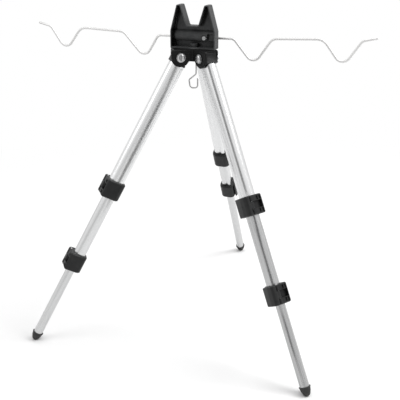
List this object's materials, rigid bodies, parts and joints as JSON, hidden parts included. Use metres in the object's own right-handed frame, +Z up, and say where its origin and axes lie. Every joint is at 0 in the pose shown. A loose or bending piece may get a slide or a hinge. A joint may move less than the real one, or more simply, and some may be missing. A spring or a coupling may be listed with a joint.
{
  "type": "rod rest",
  "caption": "Fishing rod rest: a small head with a notched plate and bent wire arms, standing on folding telescopic legs with lever locks.",
  "frame": {"origin": "on the ground under the middle of the overall box", "axes": "+Z up, +X along the wire arms to the right seen from the front, +Y from the front towards the rear leg"},
  "size_m": [0.4454, 0.3756, 0.44],
  "materials": {
    "black_plastic": "black moulded plastic, satin",
    "foot_plastic": "black moulded plastic, dull",
    "bush_plastic": "black moulded plastic",
    "leg_aluminium": "satin anodised",
    "arm_wire": "plated wire",
    "plated_steel": "bright zinc plate"
  },
  "bodies": {
    "head": {"head_base": "black_plastic", "ear_plate": "black_plastic", "eye_bolt": "plated_steel", "pivot_bolt_rear": "plated_steel", "pivot_nut_rear": "plated_steel", "pivot_bolt_left": "plated_steel", "pivot_nut_left": "plated_steel", "pivot_bolt_right": "plated_steel", "pivot_nut_right": "plated_steel"},
    "upper_leg_rear": {"knuckle_rear": "black_plastic", "upper_tube_rear": "leg_aluminium", "upper_collar_rear": "black_plastic", "upper_pin_rear": "plated_steel"},
    "upper_lever_rear": {"upper_lever_rear": "black_plastic"},
    "middle_leg_rear": {"middle_tube_rear": "leg_aluminium", "middle_bush_rear": "bush_plastic", "lower_collar_rear": "black_plastic", "lower_pin_rear": "plated_steel"},
    "lower_lever_rear": {"lower_lever_rear": "black_plastic"},
    "lower_leg_rear": {"lower_tube_rear": "leg_aluminium", "lower_bush_rear": "bush_plastic", "foot_rear": "foot_plastic"},
    "upper_leg_left": {"knuckle_left": "black_plastic", "upper_tube_left": "leg_aluminium", "upper_collar_left": "black_plastic", "upper_pin_left": "plated_steel"},
    "upper_lever_left": {"upper_lever_left": "black_plastic"},
    "middle_leg_left": {"middle_tube_left": "leg_aluminium", "middle_bush_left": "bush_plastic", "lower_collar_left": "black_plastic", "lower_pin_left": "plated_steel"},
    "lower_lever_left": {"lower_lever_left": "black_plastic"},
    "lower_leg_left": {"lower_tube_left": "leg_aluminium", "lower_bush_left": "bush_plastic", "foot_left": "foot_plastic"},
    "upper_leg_right": {"knuckle_right": "black_plastic", "upper_tube_right": "leg_aluminium", "upper_collar_right": "black_plastic", "upper_pin_right": "plated_steel"},
    "upper_lever_right": {"upper_lever_right": "black_plastic"},
    "middle_leg_right": {"middle_tube_right": "leg_aluminium", "middle_bush_right": "bush_plastic", "lower_collar_right": "black_plastic", "lower_pin_right": "plated_steel"},
    "lower_lever_right": {"lower_lever_right": "black_plastic"},
    "lower_leg_right": {"lower_tube_right": "leg_aluminium", "lower_bush_right": "bush_plastic", "foot_right": "foot_plastic"},
    "arm_right": {"arm_right": "arm_wire"},
    "arm_left": {"arm_left": "arm_wire"},
    "clamp_screw_right": {"clamp_screw_right": "plated_steel"},
    "clamp_screw_left": {"clamp_screw_left": "plated_steel"},
    "hook": {"weight_hook": "plated_steel"}
  },
  "joints": [
    {"name": "fold_rear", "type": "hinge", "parent": "head", "child": "upper_leg_rear", "pos_m": [0, -0.02403, 0.37702], "axis": [1, 0, 0], "range_deg": [-29.4, 0]},
    {"name": "upper_lock_rear", "type": "hinge", "parent": "upper_leg_rear", "child": "upper_lever_rear", "pos_m": [0.0056, 0.07713, 0.21461], "axis": [0, -0.4909, 0.8712], "range_deg": [0, 100]},
    {"name": "middle_slide_rear", "type": "slide", "parent": "upper_leg_rear", "child": "middle_leg_rear", "axis": [0, 0.4909, -0.8712], "range_m": [-0.0458, 0.0908]},
    {"name": "lower_lock_rear", "type": "hinge", "parent": "middle_leg_rear", "child": "lower_lever_rear", "pos_m": [0.00515, 0.11176, 0.15126], "axis": [0, -0.4909, 0.8712], "range_deg": [0, 100]},
    {"name": "lower_slide_rear", "type": "slide", "parent": "middle_leg_rear", "child": "lower_leg_rear", "axis": [0, 0.4909, -0.8712], "range_m": [-0.143, 0]},
    {"name": "fold_left", "type": "hinge", "parent": "head", "child": "upper_leg_left", "pos_m": [-0.01951, -0.062, 0.37702], "axis": [-0.5821, 0.8131, 0], "range_deg": [-29.4, 0]},
    {"name": "upper_lock_left", "type": "hinge", "parent": "upper_leg_left", "child": "upper_lever_left", "pos_m": [-0.10502, -0.11633, 0.21461], "axis": [0.3992, 0.2858, 0.8712], "range_deg": [0, 100]},
    {"name": "middle_slide_left", "type": "slide", "parent": "upper_leg_left", "child": "middle_leg_left", "axis": [-0.3992, -0.2858, -0.8712], "range_m": [-0.0858, 0.0508]},
    {"name": "lower_lock_left", "type": "hinge", "parent": "middle_leg_left", "child": "lower_lever_left", "pos_m": [-0.14889, -0.14829, 0.11641], "axis": [0.3992, 0.2858, 0.8712], "range_deg": [0, 100]},
    {"name": "lower_slide_left", "type": "slide", "parent": "middle_leg_left", "child": "lower_leg_left", "axis": [-0.3992, -0.2858, -0.8712], "range_m": [-0.103, 0.04]},
    {"name": "fold_right", "type": "hinge", "parent": "head", "child": "upper_leg_right", "pos_m": [0.01951, -0.062, 0.37702], "axis": [-0.5821, -0.8131, 0], "range_deg": [-29.4, 0]},
    {"name": "upper_lock_right", "type": "hinge", "parent": "upper_leg_right", "child": "upper_lever_right", "pos_m": [0.0985, -0.12544, 0.21461], "axis": [-0.3992, 0.2858, 0.8712], "range_deg": [0, 100]},
    {"name": "middle_slide_right", "type": "slide", "parent": "upper_leg_right", "child": "middle_leg_right", "axis": [0.3992, -0.2858, -0.8712], "range_m": [-0.0858, 0.0508]},
    {"name": "lower_lock_right", "type": "hinge", "parent": "middle_leg_right", "child": "lower_lever_right", "pos_m": [0.14289, -0.15666, 0.11641], "axis": [-0.3992, 0.2858, 0.8712], "range_deg": [0, 100]},
    {"name": "lower_slide_right", "type": "slide", "parent": "middle_leg_right", "child": "lower_leg_right", "axis": [0.3992, -0.2858, -0.8712], "range_m": [-0.103, 0.04]},
    {"name": "arm_turn_right", "type": "hinge", "parent": "head", "child": "arm_right", "pos_m": [0, -0.05223, 0.40022], "axis": [1, 0, 0], "range_deg": [-90, 90]},
    {"name": "arm_turn_left", "type": "hinge", "parent": "head", "child": "arm_left", "pos_m": [0, -0.05223, 0.40022], "axis": [1, 0, 0], "range_deg": [-90, 90]},
    {"name": "clamp_right", "type": "hinge", "parent": "head", "child": "clamp_screw_right", "pos_m": [0.0135, -0.05723, 0.40022], "axis": [0, 1, 0], "range_deg": [0, 360]},
    {"name": "clamp_left", "type": "hinge", "parent": "head", "child": "clamp_screw_left", "pos_m": [-0.0135, -0.04673, 0.40022], "axis": [0, -1, 0], "range_deg": [0, 360]},
    {"name": "hook_swing", "type": "hinge", "parent": "head", "child": "hook", "pos_m": [0, -0.05653, 0.37762], "axis": [-1, 0, 0], "range_deg": [-18, 18]}
  ]
}
